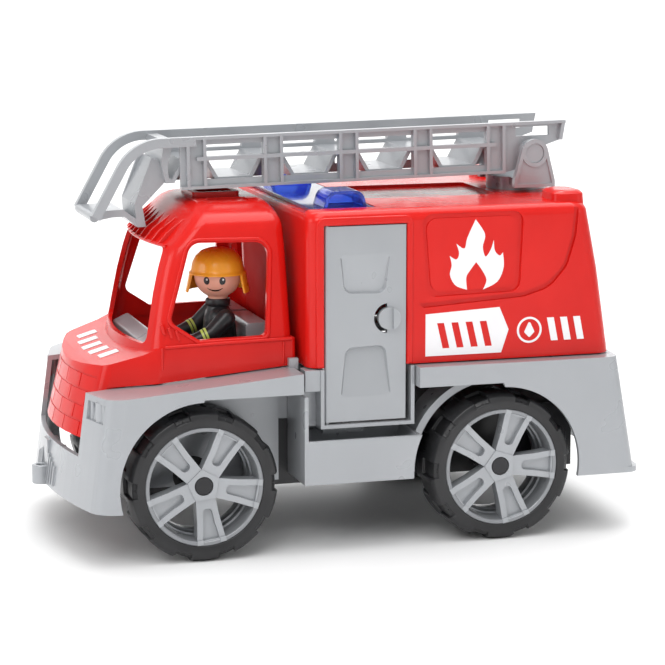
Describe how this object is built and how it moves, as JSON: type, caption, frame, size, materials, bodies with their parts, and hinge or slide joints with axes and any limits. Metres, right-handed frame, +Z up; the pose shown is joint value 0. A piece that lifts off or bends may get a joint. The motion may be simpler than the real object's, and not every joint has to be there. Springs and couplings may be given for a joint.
{
  "type": "toy fire engine",
  "caption": "Toy fire engine with rolling wheels, raising and turning roof ladder, opening side doors and a seated play figure.",
  "frame": {"origin": "centre of the footprint on the ground the wheels stand on", "axes": "+X towards the front of the vehicle, +Y to its left side, +Z up"},
  "size_m": [0.283, 0.152, 0.1923],
  "materials": {
    "grey_plastic": "gloss",
    "red_plastic": "gloss",
    "blue_clear": "gloss",
    "black_plastic": "satin",
    "tyre_black": "satin",
    "steel": "satin",
    "white_mark": "satin",
    "skin": "satin",
    "orange_plastic": "gloss"
  },
  "bodies": {
    "truck": {"chassis": "black_plastic", "cab_tub": "grey_plastic", "front_bumper": "grey_plastic", "tow_eye": "grey_plastic", "rear_skirt": "grey_plastic", "side_step_left": "grey_plastic", "side_step_right": "grey_plastic", "door_frame_left": "grey_plastic", "door_frame_right": "grey_plastic", "cab_shell": "red_plastic", "cab_seat": "grey_plastic", "dashboard": "grey_plastic", "steering_wheel": "black_plastic", "box_shell": "red_plastic", "light_bar": "blue_clear", "front_axle": "steel", "rear_axle": "steel", "axle_caps": "black_plastic", "body_screws": "steel", "figure_torso": "black_plastic", "figure_legs": "black_plastic", "flame_marks": "white_mark", "panel_marks": "white_mark", "hood_stripes": "white_mark"},
    "turntable": {"turntable": "grey_plastic", "turntable_clip": "grey_plastic"},
    "ladder": {"ladder_rail_left": "grey_plastic", "ladder_rail_right": "grey_plastic", "ladder_deck": "grey_plastic", "ladder_nose": "grey_plastic"},
    "left_door": {"left_door": "grey_plastic"},
    "right_door": {"right_door": "grey_plastic"},
    "wheel_front_left": {"tyre_front_left": "tyre_black", "rim_front_left": "grey_plastic"},
    "wheel_front_right": {"tyre_front_right": "tyre_black", "rim_front_right": "grey_plastic"},
    "wheel_rear_left": {"tyre_rear_left": "tyre_black", "rim_rear_left": "grey_plastic"},
    "wheel_rear_right": {"tyre_rear_right": "tyre_black", "rim_rear_right": "grey_plastic"},
    "figure_head": {"figure_head": "skin", "figure_helmet": "orange_plastic"},
    "figure_arm_left": {"figure_arm_left": "black_plastic"},
    "figure_arm_right": {"figure_arm_right": "black_plastic"}
  },
  "joints": [
    {"name": "front_left_wheel_spin", "type": "hinge", "parent": "truck", "child": "wheel_front_left", "pos_m": [0.0752, 0.062, 0.035], "axis": [0, 1, 0], "continuous": true},
    {"name": "front_right_wheel_spin", "type": "hinge", "parent": "truck", "child": "wheel_front_right", "pos_m": [0.0752, -0.062, 0.035], "axis": [0, 1, 0], "continuous": true},
    {"name": "rear_left_wheel_spin", "type": "hinge", "parent": "truck", "child": "wheel_rear_left", "pos_m": [-0.0682, 0.062, 0.035], "axis": [0, 1, 0], "continuous": true},
    {"name": "rear_right_wheel_spin", "type": "hinge", "parent": "truck", "child": "wheel_rear_right", "pos_m": [-0.0682, -0.062, 0.035], "axis": [0, 1, 0], "continuous": true},
    {"name": "turntable_swing", "type": "hinge", "parent": "truck", "child": "turntable", "pos_m": [-0.1015, 0, 0.157], "axis": [0, 0, 1], "continuous": true},
    {"name": "ladder_raise", "type": "hinge", "parent": "turntable", "child": "ladder", "pos_m": [-0.1015, 0, 0.177], "axis": [0, -1, 0], "range_deg": [0, 60]},
    {"name": "left_door_swing", "type": "hinge", "parent": "truck", "child": "left_door", "pos_m": [0.0151, 0.0666, 0.1], "axis": [0, 0, -1], "range_deg": [0, 95]},
    {"name": "right_door_swing", "type": "hinge", "parent": "truck", "child": "right_door", "pos_m": [0.0151, -0.0666, 0.1], "axis": [0, 0, 1], "range_deg": [0, 95]},
    {"name": "head_turn", "type": "hinge", "parent": "truck", "child": "figure_head", "pos_m": [0.0555, 0.022, 0.12], "axis": [0, 0, 1], "range_deg": [-140, 20]},
    {"name": "left_arm_swing", "type": "hinge", "parent": "truck", "child": "figure_arm_left", "pos_m": [0.0551, 0.034, 0.1052], "axis": [0, -1, 0], "range_deg": [0, 45]},
    {"name": "right_arm_swing", "type": "hinge", "parent": "truck", "child": "figure_arm_right", "pos_m": [0.0551, 0.01, 0.1052], "axis": [0, -1, 0], "range_deg": [0, 45]}
  ]
}
